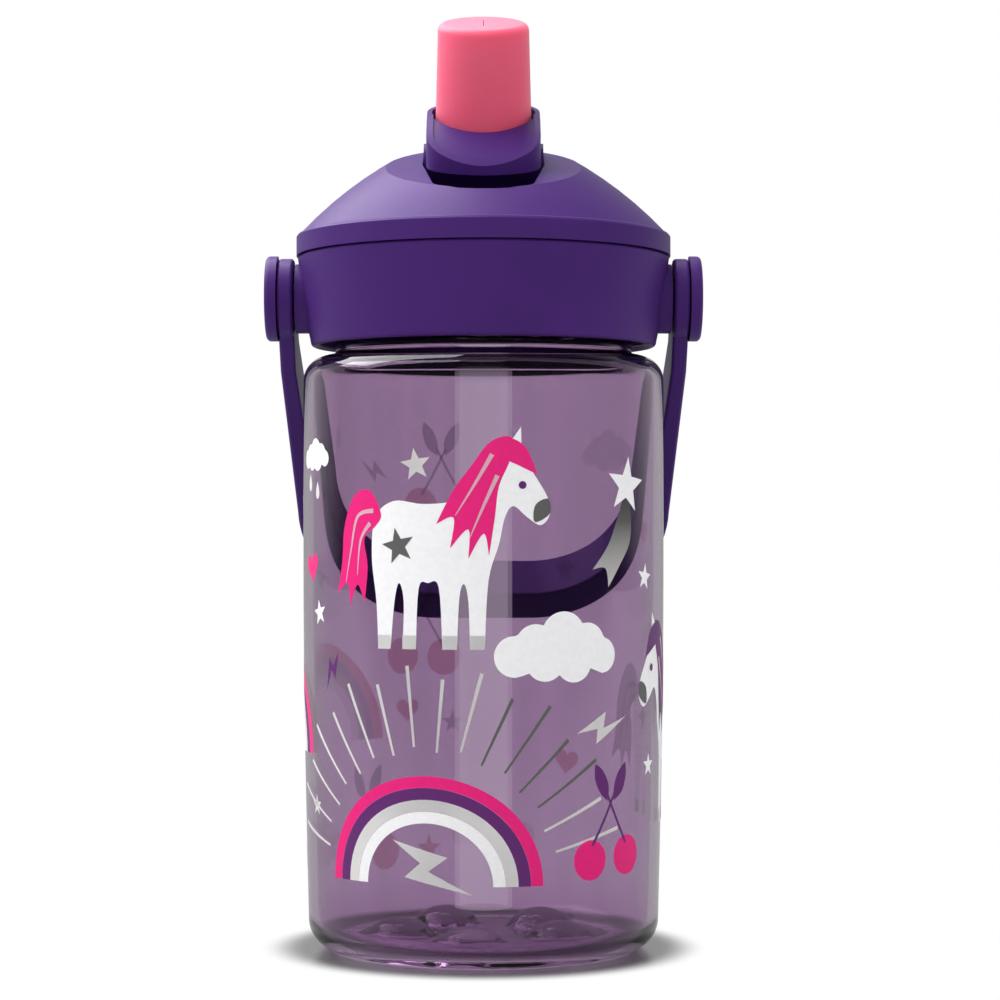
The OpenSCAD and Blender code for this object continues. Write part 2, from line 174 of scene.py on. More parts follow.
def make_world():
    """White to look at and through. It has its own strength as a light, and its front is dark in
    reflections, like a room behind the camera."""
    world = bpy.data.worlds.new("studio")
    bpy.context.scene.world = world
    world.use_nodes = True
    nodes, links = world.node_tree.nodes, world.node_tree.links
    nodes.clear()
    path, seen = seen_by_eye(nodes, links)
    place = nodes.new("ShaderNodeTexCoord")
    axes = nodes.new("ShaderNodeSeparateXYZ")
    room = nodes.new("ShaderNodeMapRange")
    room.interpolation_type = "SMOOTHSTEP"
    room.inputs["From Min"].default_value = ROOM_TURNS[0]
    room.inputs["From Max"].default_value = ROOM_TURNS[1]
    room.inputs["To Min"].default_value = ROOM_FRONT
    room.inputs["To Max"].default_value = ROOM_BACK
    soft = nodes.new("ShaderNodeMix")
    soft.inputs["A"].default_value = ROOM_LIGHT
    white = nodes.new("ShaderNodeMix")
    white.inputs["B"].default_value = 1.0
    background = nodes.new("ShaderNodeBackground")
    background.inputs["Color"].default_value = (1, 1, 1, 1)
    output = nodes.new("ShaderNodeOutputWorld")
    links.new(place.outputs["Generated"], axes.inputs[0])
    links.new(axes.outputs["Y"], room.inputs["Value"])
    links.new(path.outputs["Is Glossy Ray"], soft.inputs["Factor"])
    links.new(room.outputs["Result"], soft.inputs["B"])
    links.new(seen, white.inputs["Factor"])
    links.new(soft.outputs["Result"], white.inputs["A"])
    links.new(white.outputs["Result"], background.inputs["Strength"])
    links.new(background.outputs[0], output.inputs["Surface"])


def make_floor():
    """Pale floor with painted light under the bottle and a painted shadow, a dark ring, round its foot.
    Close by it turns to the studio's white to look at, and to the room's light in reflections."""
    bpy.ops.mesh.primitive_plane_add(size=FLOOR_SIDE)
    floor = bpy.context.object
    floor.name = "floor"
    mat = bpy.data.materials.new("floor_white_painted_shadow")
    mat.use_nodes = True
    nodes, links = mat.node_tree.nodes, mat.node_tree.links
    shader = nodes["Principled BSDF"]
    shader.inputs["Roughness"].default_value = FLOOR_ROUGH
    glow = nodes.new("ShaderNodeEmission")
    place = nodes.new("ShaderNodeTexCoord")
    length = nodes.new("ShaderNodeVectorMath")
    length.operation = "LENGTH"
    # Painted light under the bottle and a painted shadow round its foot, set by distance from its axis
    painted_floor_shade = nodes.new("ShaderNodeValToRGB")
    stops = painted_floor_shade.color_ramp.elements
    stops.remove(stops[1])
    for at, grey in FLOOR_PAINTED_LIGHT_AND_SHADOW:
        stops.new(at).color = (grey, grey, grey, 1)
    stops.remove(stops[0])
    fade = nodes.new("ShaderNodeMapRange")
    fade.interpolation_type = "SMOOTHERSTEP"
    fade.inputs["From Min"].default_value = FLOOR_TURNS_WHITE[0]
    fade.inputs["From Max"].default_value = FLOOR_TURNS_WHITE[1]
    axes = nodes.new("ShaderNodeSeparateXYZ")
    room = nodes.new("ShaderNodeMapRange")
    room.inputs["From Min"].default_value = FLOOR_ROOM_Y[0]
    room.inputs["From Max"].default_value = FLOOR_ROOM_Y[1]
    room.inputs["To Min"].default_value = ROOM_FRONT
    room.inputs["To Max"].default_value = ROOM_BACK
    white = nodes.new("ShaderNodeMix")
    white.inputs["B"].default_value = 1.0
    either = nodes.new("ShaderNodeMath")
    either.operation = "MAXIMUM"
    share = nodes.new("ShaderNodeMath")
    share.operation = "MULTIPLY"
    mix = nodes.new("ShaderNodeMixShader")
    path, seen = seen_by_eye(nodes, links)
    links.new(place.outputs["Object"], length.inputs[0])
    links.new(length.outputs["Value"], fade.inputs["Value"])
    links.new(length.outputs["Value"], painted_floor_shade.inputs["Fac"])
    links.new(painted_floor_shade.outputs["Color"], shader.inputs["Base Color"])
    links.new(place.outputs["Object"], axes.inputs[0])
    links.new(axes.outputs["Y"], room.inputs["Value"])
    links.new(seen, white.inputs["Factor"])
    links.new(room.outputs["Result"], white.inputs["A"])
    links.new(white.outputs["Result"], glow.inputs["Strength"])
    links.new(seen, either.inputs[0])
    links.new(path.outputs["Is Glossy Ray"], either.inputs[1])
    links.new(fade.outputs["Result"], share.inputs[0])
    links.new(either.outputs[0], share.inputs[1])
    links.new(share.outputs[0], mix.inputs["Fac"])
    links.new(shader.outputs[0], mix.inputs[1])
    links.new(glow.outputs[0], mix.inputs[2])
    links.new(mix.outputs[0], nodes["Material Output"].inputs["Surface"])
    floor.data.materials.append(mat)


def make_studio():
    bpy.context.scene.view_settings.view_transform = "Standard"
    make_camera()
    make_world()
    make_floor()
    make_light()


# ---- Materials, colours as linear red, green and blue ----

PURPLE = (0.06, 0.0175, 0.157)
PINK = (0.88, 0.094, 0.19)
PALE_PINK = (0.92, 0.125, 0.225)
SEAL_WHITE = (0.66, 0.66, 0.68)
SEAL_PALE = (0.76, 0.76, 0.78)
CLEAR_VIOLET = (0.54, 0.42, 0.56)
CLEAR_IOR = 1.5
# What multiplies the body's colour at its foot, and the height in metres where that ends
BASE_TINT = (0.86, 0.75, 0.87)
BASE_TINT_TO = 0.015
SHADOW_TINT = (0.93, 0.89, 0.94)
STRAW_DULL = (0.86, 0.84, 0.9)
STRAW_PALE = (0.94, 0.92, 0.97)
# The share of light that the straw scatters. Then, for the straw seen through the wall: how clear it is, how
# much painted glow it gives off for scattered light, and the heights in millimetres between which it fades
# out
STRAW_SCATTER = 0.17
STRAW_FILM = 0.85
STRAW_PAINTED_GLOW = 0.13
PAINTED_GLOW_FADES = 114
PAINTED_GLOW_ENDS = 119
# How much a print darkens what is seen through it from inside the bottle, and how much of its colour it keeps
FILM_SHADE = 0.42
FILM_COLOUR = 0.7
FILM_GREY = (0.35, 0.35, 0.34)
SILVER_DULL = (0.72, 0.70, 0.71)
SILVER_PALE = (0.93, 0.90, 0.90)
# Ends of the foil print's painted reflection: light at the tail's tip, painted shade under the star
FOIL_PAINTED_LIGHT = (0.68, 0.67, 0.66)
FOIL_PAINTED_SHADE = (0.085, 0.085, 0.083)
# Heights in metres between which the foil print darkens, a painted shade of its metallic reflection, and how
# metallic both such inks are
FOIL_SHADE_HEIGHTS = (0.075, 0.087)
FOIL_METAL = 0.35
# Depths of the surface grain in metres
GRAIN_DEPTH = 0.00002
INK_DEPTH = 0.00001
WAVE_DEPTH = 0.0004


def new_material(name):
    """A new material with its nodes, links and Principled shader."""
    mat = bpy.data.materials.new(name)
    mat.use_nodes = True
    return mat, mat.node_tree.nodes, mat.node_tree.links, mat.node_tree.nodes["Principled BSDF"]


def noise_texture(nodes, links, scale, detail, stretch=(1, 1, 1)):
    """Noise over the object's own coordinates, in metres."""
    place = nodes.new("ShaderNodeTexCoord")
    mapping = nodes.new("ShaderNodeMapping")
    mapping.inputs["Scale"].default_value = stretch
    texture = nodes.new("ShaderNodeTexNoise")
    texture.inputs["Scale"].default_value = scale
    texture.inputs["Detail"].default_value = detail
    links.new(place.outputs["Object"], mapping.inputs["Vector"])
    links.new(mapping.outputs["Vector"], texture.inputs["Vector"])
    return texture.outputs["Fac"]


def ramp(nodes, links, source, low, high, low_at=0.3, high_at=0.7):
    """Colour from one shade to another along a value."""
    node = nodes.new("ShaderNodeValToRGB")
    node.color_ramp.elements[0].position = low_at
    node.color_ramp.elements[0].color = (*low, 1)
    node.color_ramp.elements[1].position = high_at
    node.color_ramp.elements[1].color = (*high, 1)
    links.new(source, node.inputs["Fac"])
    return node.outputs["Color"]


def span(nodes, links, source, low, high):
    """A value spread between two limits."""
    node = nodes.new("ShaderNodeMapRange")
    node.inputs["To Min"].default_value = low
    node.inputs["To Max"].default_value = high
    links.new(source, node.inputs["Value"])
    return node.outputs["Result"]


def bump(nodes, links, shader, source, distance, strength):
    node = nodes.new("ShaderNodeBump")
    node.inputs["Strength"].default_value = strength
    node.inputs["Distance"].default_value = distance
    links.new(source, node.inputs["Height"])
    links.new(node.outputs["Normal"], shader.inputs["Normal"])


def shade(colour, factor):
    return tuple(c * factor for c in colour)


def lid_plastic():
    """Satin moulded plastic: a spark-eroded grain, with slightly uneven colour and gloss."""
    mat, nodes, links, shader = new_material("lid_purple")
    cloud = noise_texture(nodes, links, 45, 3)
    fine = noise_texture(nodes, links, 2600, 2)
    tone = ramp(nodes, links, cloud, shade(PURPLE, 0.93), shade(PURPLE, 1.07))
    links.new(tone, shader.inputs["Base Color"])
    links.new(span(nodes, links, cloud, 0.4, 0.5), shader.inputs["Roughness"])
    shader.inputs["Specular IOR Level"].default_value = 0.22
    shader.inputs["Specular Tint"].default_value = (0.8, 0.6, 1, 1)
    bump(nodes, links, shader, fine, GRAIN_DEPTH, 0.5)
    return mat


def soft_silicone(name, colour, pale):
    """Soft silicone: light soaks in a little, and the surface has a fine dry bloom."""
    mat, nodes, links, shader = new_material(name)
    cloud = noise_texture(nodes, links, 60, 3)
    fine = noise_texture(nodes, links, 1800, 3)
    links.new(ramp(nodes, links, cloud, colour, pale, 0.2, 0.9), shader.inputs["Base Color"])
    links.new(span(nodes, links, fine, 0.45, 0.6), shader.inputs["Roughness"])
    shader.inputs["Subsurface Weight"].default_value = 0.5
    shader.inputs["Subsurface Radius"].default_value = (1.0, 0.35, 0.4)
    shader.inputs["Subsurface Scale"].default_value = 0.004
    shader.inputs["Sheen Weight"].default_value = 0.15
    shader.inputs["Sheen Roughness"].default_value = 0.4
    bump(nodes, links, shader, fine, GRAIN_DEPTH, 0.4)
    return mat


def clear_body_plastic():
    """Clear violet copolyester: real refraction, faint upright draw lines, a deeper tint in the thick base,
    and tinted see-through shadows."""
    mat, nodes, links, shader = new_material("clear_violet")
    draw = noise_texture(nodes, links, 160, 2, (1, 1, 0.06))
    wave = noise_texture(nodes, links, 28, 2, (1, 1, 0.4))
    place = nodes.new("ShaderNodeTexCoord")
    axes = nodes.new("ShaderNodeSeparateXYZ")
    height = nodes.new("ShaderNodeMapRange")
    height.inputs["From Max"].default_value = BASE_TINT_TO
    deeper = nodes.new("ShaderNodeMix")
    deeper.data_type = "RGBA"
    deeper.blend_type = "MULTIPLY"
    deeper.inputs["Factor"].default_value = 1.0
    links.new(place.outputs["Object"], axes.inputs[0])
    links.new(axes.outputs["Z"], height.inputs["Value"])
    lined = ramp(nodes, links, draw, shade(CLEAR_VIOLET, 0.97), shade(CLEAR_VIOLET, 1.03))
    links.new(lined, deeper.inputs["A"])
    links.new(ramp(nodes, links, height.outputs["Result"], BASE_TINT, (1, 1, 1), 0, 1), deeper.inputs["B"])
    links.new(deeper.outputs["Result"], shader.inputs["Base Color"])
    shader.inputs["Roughness"].default_value = 0.02
    shader.inputs["IOR"].default_value = CLEAR_IOR
    shader.inputs["Transmission Weight"].default_value = 1.0
    bump(nodes, links, shader, wave, WAVE_DEPTH, 0.25)
    clear = nodes.new("ShaderNodeBsdfTransparent")
    clear.inputs["Color"].default_value = (*SHADOW_TINT, 1)
    path = nodes.new("ShaderNodeLightPath")
    mix = nodes.new("ShaderNodeMixShader")
    links.new(path.outputs["Is Shadow Ray"], mix.inputs["Fac"])
    links.new(shader.outputs[0], mix.inputs[1])
    links.new(clear.outputs[0], mix.inputs[2])
    links.new(mix.outputs[0], nodes["Material Output"].inputs["Surface"])
    return mat


def straw_plastic_with_painted_glow():
    """Thin natural polypropylene: much of the light passes straight through, and the rest is scattered.
    Through the bottle's wall, where little is left to scatter, a faint painted glow up to the shoulder, an
    emission that stands in for scattered light, keeps it milky."""
    mat, nodes, links, shader = new_material("milky_straw_painted_glow")
    cloud = noise_texture(nodes, links, 90, 2, (1, 1, 0.2))
    links.new(ramp(nodes, links, cloud, STRAW_DULL, STRAW_PALE), shader.inputs["Base Color"])
    links.new(span(nodes, links, cloud, 0.3, 0.4), shader.inputs["Roughness"])
    clear = nodes.new("ShaderNodeBsdfTransparent")
    mix = nodes.new("ShaderNodeMixShader")
    mix.inputs["Fac"].default_value = STRAW_SCATTER
    links.new(clear.outputs[0], mix.inputs[1])
    links.new(shader.outputs[0], mix.inputs[2])
    # Painted glow: an emission that stands in for light scattered in the straw, seen through the wall
    painted_milk_glow = nodes.new("ShaderNodeEmission")
    low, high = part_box("straw")
    place = nodes.new("ShaderNodeTexCoord")
    axes = nodes.new("ShaderNodeSeparateXYZ")
    fade = nodes.new("ShaderNodeMapRange")
    fade.inputs["From Min"].default_value = (PAINTED_GLOW_FADES * MM - low.z) / (high.z - low.z)
    fade.inputs["From Max"].default_value = (PAINTED_GLOW_ENDS * MM - low.z) / (high.z - low.z)
    fade.inputs["To Min"].default_value = STRAW_PAINTED_GLOW
    fade.inputs["To Max"].default_value = 0
    links.new(place.outputs["Generated"], axes.inputs[0])
    links.new(axes.outputs["Z"], fade.inputs["Value"])
    links.new(fade.outputs["Result"], painted_milk_glow.inputs["Strength"])
    film = nodes.new("ShaderNodeBsdfTransparent")
    film.inputs["Color"].default_value = (STRAW_FILM, STRAW_FILM, STRAW_FILM, 1)
    lit = nodes.new("ShaderNodeAddShader")
    path = nodes.new("ShaderNodeLightPath")
    through = nodes.new("ShaderNodeMixShader")
    links.new(film.outputs[0], lit.inputs[0])
    links.new(painted_milk_glow.outputs[0], lit.inputs[1])
    links.new(path.outputs["Is Transmission Ray"], through.inputs["Fac"])
    links.new(mix.outputs[0], through.inputs[1])
    links.new(lit.outputs[0], through.inputs[2])
    links.new(through.outputs[0], nodes["Material Output"].inputs["Surface"])
    return mat


def thin_from_inside(mat, colour):
    """Printed film: solid from outside, while the bright backdrop shows through it from inside the bottle."""
    nodes, links = mat.node_tree.nodes, mat.node_tree.links
    clear = nodes.new("ShaderNodeBsdfTransparent")
    clear.inputs["Color"].default_value = (*(1 - FILM_SHADE * (1 - FILM_COLOUR * c) for c in colour), 1)
    path = nodes.new("ShaderNodeLightPath")
    shown = nodes["Principled BSDF"].outputs[0]
    for kind in ("Is Glossy Ray", "Is Transmission Ray"):
        mix = nodes.new("ShaderNodeMixShader")
        links.new(path.outputs[kind], mix.inputs["Fac"])
        links.new(shown, mix.inputs[1])
        links.new(clear.outputs[0], mix.inputs[2])
        shown = mix.outputs[0]
    links.new(shown, nodes["Material Output"].inputs["Surface"])


def ink(name, colour):
    """Screen-printed ink: a dense film with a faint screen grain."""
    mat, nodes, links, shader = new_material(name)
    grain = noise_texture(nodes, links, 900, 2)
    links.new(ramp(nodes, links, grain, shade(colour, 0.95), shade(colour, 1.0)), shader.inputs["Base Color"])
    links.new(span(nodes, links, grain, 0.35, 0.47), shader.inputs["Roughness"])
    shader.inputs["Specular IOR Level"].default_value = 0.25
    bump(nodes, links, shader, grain, INK_DEPTH, 0.3)
    thin_from_inside(mat, colour)
    return mat


def silver_ink():
    """Metallic ink: fine flakes in a grey film."""
    mat, nodes, links, shader = new_material("ink_silver")
    flakes = noise_texture(nodes, links, 1500, 2)
    cloud = noise_texture(nodes, links, 60, 2)
    links.new(ramp(nodes, links, cloud, SILVER_DULL, SILVER_PALE), shader.inputs["Base Color"])
    links.new(span(nodes, links, flakes, 0.3, 0.5), shader.inputs["Roughness"])
    shader.inputs["Metallic"].default_value = FOIL_METAL
    bump(nodes, links, shader, flakes, INK_DEPTH, 0.3)
    thin_from_inside(mat, FILM_GREY)
    return mat


def foil_ink_painted_shade():
    """Metallic ink with a painted reflection, which runs from light at the tip of the shooting star's tail to
    painted shade, dark, under the star.
    """
    mat, nodes, links, shader = new_material("ink_foil_painted_shade")
    place = nodes.new("ShaderNodeTexCoord")
    axes = nodes.new("ShaderNodeSeparateXYZ")
    flakes = noise_texture(nodes, links, 1500, 2)
    links.new(place.outputs["Object"], axes.inputs[0])
    # Painted shade: the colour darkens with height, as the metallic ink's reflection would
    tone = ramp(nodes, links, axes.outputs["Z"], FOIL_PAINTED_LIGHT, FOIL_PAINTED_SHADE, *FOIL_SHADE_HEIGHTS)
    links.new(tone, shader.inputs["Base Color"])
    links.new(span(nodes, links, flakes, 0.3, 0.5), shader.inputs["Roughness"])
    shader.inputs["Metallic"].default_value = FOIL_METAL
    thin_from_inside(mat, FILM_GREY)
    return mat


# ---- Mesh helpers ----

def add_piece(name, mesh, material, body, slot, *nodes):
    """Links a mesh as a piece that rides on a body, and stands for the CAD nodes named."""
    piece = bpy.data.objects.new(name, mesh)
    bpy.context.scene.collection.objects.link(piece)
    mesh.materials.append(material)
    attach(piece, body)
    if nodes:
        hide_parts(*nodes)


def smooth(mesh, angle):
    """Smooth shading that keeps edges sharper than an angle."""
    mesh.polygons.foreach_set("use_smooth", [True] * len(mesh.polygons))
    mesh.set_sharp_from_angle(angle=math.radians(angle))


def revolve(name, rings, steps, move):
    """A closed surface of revolution from (r, z) rings in millimetres, with a single point where r is 0.
    move(ring, r, z, angle) gives each point's final r and z."""
    points, index = [], []
    for i, (r, z) in enumerate(rings):
        row = []
        for j in range(1 if r == 0 else steps):
            a = 2 * math.pi * j / steps
            rr, zz = move(i, r, z, a)
            row.append(len(points))
            points.append((rr * math.cos(a) * MM, rr * math.sin(a) * MM, zz * MM))
        index.append(row)
    faces = []
    for low, high in zip(index, index[1:]):
        for j in range(steps):
            k = (j + 1) % steps
            a, b = low[j % len(low)], low[k % len(low)]
            c, d = high[k % len(high)], high[j % len(high)]
            face = [p for n, p in enumerate((a, b, c, d)) if p not in (a, b, c, d)[:n]]
            if len(face) > 2:
                faces.append(face)
    mesh = bpy.data.meshes.new(name)
    mesh.from_pydata(points, [], faces)
    mesh.validate()
    work = bmesh.new()
    work.from_mesh(mesh)
    bmesh.ops.recalc_face_normals(work, faces=work.faces)
    work.to_mesh(mesh)
    work.free()
    return mesh


# ---- Body ----

def lobe_height(r, angle):
    """Height of the moulded lobes that stiffen the push-up base."""
    x, y = r * math.cos(angle), r * math.sin(angle)
    best = 0.0
    for i in range(LOBES):
        a = 2 * math.pi * (i + LOBE_TURN) / LOBES
        away = math.hypot(x - LOBE_AT * math.cos(a), y - LOBE_AT * math.sin(a))
        if away < LOBE_R:
            best = max(best, LOBE_H * (1 - (away / LOBE_R) ** 2) ** LOBE_BLUNT)
    return best


def thread_height(z, angle):
    """How far the thread stands out of the neck at a height and an angle."""
    out = 0.0
    for turn in range(math.ceil(THREAD_TURNS)):
        wound = angle / (2 * math.pi) + turn
        if wound > THREAD_TURNS:
            continue
        away = abs(z - (THREAD_START + THREAD_PITCH * wound)) / THREAD_HALF_W
        lead = min(1, wound / THREAD_LEAD, (THREAD_TURNS - wound) / THREAD_LEAD)
        out = max(out, THREAD_H * lead * max(0, min(1, THREAD_FLANK * (1 - away))))
    return out


def make_body(material):
    """The clear body, one closed profile turned round its axis: underside, wall, neck, rim, and back down."""
    floor_z = FOOT_RECESS + FLOOR_T
    under = [(r, FOOT_RECESS) for r in range(0, FOOT_R - 1)] + [(FOOT_R - 0.6, FOOT_RECESS - 0.35)]
    corner = [(FOOT_R - 0.2, 0.15), (FOOT_R + 0.6, 0)]
    corner += arc(BASE_R - BASE_ROUND, BASE_ROUND, BASE_ROUND, -90, 0, 16)
    shoulder_r, shoulder_z = BODY_R - SHOULDER_ROUND, SHOULDER_Z - SHOULDER_ROUND
    side = [(body_radius(z), z) for z in range(BASE_ROUND + 3, int(shoulder_z), 3)]
    shoulder = arc(shoulder_r, shoulder_z, SHOULDER_ROUND, 0, 90, 16)
    fillet = arc(NECK_R + FILLET_R, SHOULDER_Z + FILLET_R, FILLET_R, -90, -180, 4)
    neck_from, neck_to = SHOULDER_Z + NECK_GAPS[0], NECK_TOP - NECK_GAPS[1]
    neck = [(NECK_R, neck_from + (neck_to - neck_from) * i / NECK_STEPS) for i in range(NECK_STEPS + 1)]
    rim = arc(NECK_R - RIM_OUT_R, NECK_TOP - RIM_OUT_R, RIM_OUT_R, 10, 90, 5)
    rim += arc(NECK_BORE_R + RIM_IN_R, NECK_TOP - RIM_IN_R, RIM_IN_R, 90, 180, 4)
    throat_z = SHOULDER_Z - WALL + FILLET_R
    inside = [(NECK_BORE_R, z) for z in (*BORE_RINGS, throat_z)]
    inside += arc(NECK_BORE_R + FILLET_R, throat_z, FILLET_R, 180, 270, 4)
    inside += arc(shoulder_r, shoulder_z, SHOULDER_ROUND - WALL, 90, 0, 12)
    inside += [(r - WALL, z) for r, z in reversed(side)]
    inside += arc(BASE_R - BASE_ROUND, floor_z + BASE_ROUND - WALL, BASE_ROUND - WALL, 0, -90, 12)
    floor = [(r, floor_z) for r in range(FOOT_R + 3, -1, -1)]
    rings = under + corner + side + shoulder + fillet + neck + rim + inside + floor
    is_under = set(range(len(under)))
    is_floor = set(range(len(rings) - len(floor), len(rings)))
    neck_start = len(under + corner + side + shoulder + fillet)
    is_neck = set(range(neck_start, neck_start + len(neck)))

    def move(i, r, z, angle):
        if i in is_under or i in is_floor:
            return r, z + lobe_height(r, angle)
        if i in is_neck:
            return r + thread_height(z, angle % (2 * math.pi)), z
        return r, z

    mesh = revolve("bottle_shell", rings, ROUND_STEPS, move)
    smooth(mesh, SHELL_SHARP)
    add_piece("bottle_shell", mesh, material, "bottle", "clear_body", "bottle_body")


# ---- Printed pictures: flat outlines in millimetres, wrapped round the body ----

# Width of the strips that bend with the body, and how far the ink stands off it, layer by layer
STRIP = 1.5
FIRST_LAYER = 0.03
LAYER_STEP = 0.04
CURVE_STEPS = 5
LINE_STEPS = 6
BAND_STEPS = 40
CLOUD_STEPS = 120
STAR_POINTS = 5
STAR_INNER = 0.42
# How much of its width a tapered ribbon of ink loses
TAPER = 0.85
STRAND_W = 0.9
HOOF_W = 2.8
HOOF_H = 2.6
# The rainbow: its outer band's radii, how far each band is inside the last, and its final width and height
ARCH_R = (19.9, 22.25)
ARCH_STEP = 2.4
ARCH_WIDE = 1.04
ARCH_HIGH = 0.94
# Its rays, in degrees: the first, the fan they fill, and which of them are dark, in grey ink as painted shade
# of the metallic ink's reflection. Then where odd and even rays begin and end, and half their width there
RAYS = 16
FIRST_RAY = 14
RAY_FAN = 152
PAINTED_SHADE_RAYS = (30, 70)
ODD_RAY = (25.5, 39.5)
EVEN_RAY = (26.5, 42)
RAY_HALF_W = (0.22, 0.36)


def turns(steps):
    """Angles evenly spaced round a circle."""
    return [2 * math.pi * i / steps for i in range(steps)]


def star(r, turn=0):
    spikes = [(r * STAR_INNER if i % 2 else r, math.radians(90 + turn + 180 * i / STAR_POINTS))
              for i in range(2 * STAR_POINTS)]
    return [(d * math.cos(a), d * math.sin(a)) for d, a in spikes]


def heart(size):
    return [(size * math.sin(t) ** 3,
             size * (13 * math.cos(t) - 5 * math.cos(2 * t) - 2 * math.cos(3 * t) - math.cos(4 * t)) / 16)
            for t in turns(40)]


def drop(size):
    return [(0.62 * size * math.sin(t) * math.sin(t / 2), size * math.cos(t)) for t in turns(32)]


def disc(x, y, r, steps=32):
    return arc(x, y, r, 0, 360 * (steps - 1) / steps, steps - 1)


def bolt(size):
    """A lightning bolt of six corners, pointed at both ends."""
    shape = [(-0.88, 0.58), (0.45, 0.22), (0, -0.1), (1, -0.6), (-0.58, -0.24), (-0.19, 0.08)]
    return [(size * x, size * y) for x, y in shape]


def cloud(size):
    """A cloud: the outline round overlapping discs, seen from its middle."""
    puffs = [(-1.6, -0.3, 0.72), (-0.85, 0.1, 0.72), (0.2, 0.4, 0.85), (1.15, 0.1, 0.75), (1.8, -0.3, 0.62),
             (-0.5, -0.45, 0.72), (0.6, -0.5, 0.72)]
    outline = []
    for a in turns(CLOUD_STEPS):
        ux, uy = math.cos(a), math.sin(a)
        far = 0.3
        for x, y, r in puffs:
            along = x * ux + y * uy
            off = r * r - (x * x + y * y - along * along)
            if off > 0:
                far = max(far, along + math.sqrt(off))
        outline.append((size * far * ux, size * far * uy))
    return outline


def band(r_in, r_out):
    """Half a ring, standing on its ends."""
    return arc(0, 0, r_out, 0, 180, BAND_STEPS) + arc(0, 0, r_in, 180, 0, BAND_STEPS)


def stroke(points, width, taper=False):
    """A ribbon of ink along a smooth line, which may narrow towards its end."""
    line = smooth_line(points)
    left, right = [], []
    for i, (x, y) in enumerate(line):
        bx, by = line[max(0, i - 1)]
        ex, ey = line[min(len(line) - 1, i + 1)]
        long = math.hypot(ex - bx, ey - by) or 1
        share = i / (len(line) - 1)
        half = width / 2 * ((1 - TAPER * share) if taper else 1)
        nx, ny = -(ey - by) / long * half, (ex - bx) / long * half
        left.append((x + nx, y + ny))
        right.append((x - nx, y - ny))
    return left + right[::-1]


def curve_point(a, b, c, d, t):
    """A point between b and c on the smooth curve that also heeds a and d."""
    return tuple(0.5 * (2 * q + (r - p) * t + (2 * p - 5 * q + 4 * r - s) * t * t
                        + (3 * q - p - 3 * r + s) * t ** 3)
                 for p, q, r, s in zip(a, b, c, d))


def smooth_line(points):
    """A smooth line through points, with its ends."""
    ends = [points[0], *points, points[-1]]
    line = [curve_point(*ends[i:i + 4], j / LINE_STEPS)
            for i in range(len(points) - 1) for j in range(LINE_STEPS)]
    return line + [points[-1]]


def smooth_loop(points):
    """A closed smooth outline. A point given twice running makes a corner."""
    n = len(points)
    loop = []
    for i in range(n):
        a, b, c, d = (points[(i + k) % n] for k in (-1, 0, 1, 2))
        if b == c:
            continue
        loop += [curve_point(a, b, c, d, j / CURVE_STEPS) for j in range(CURVE_STEPS)]
    return loop


def placed(outline, x=0.0, y=0.0, turn=0.0, flip=1):
    """An outline turned, flipped and moved."""
    c, s = math.cos(math.radians(turn)), math.sin(math.radians(turn))
    return [(x + flip * (px * c - py * s), y + px * s + py * c) for px, py in outline]


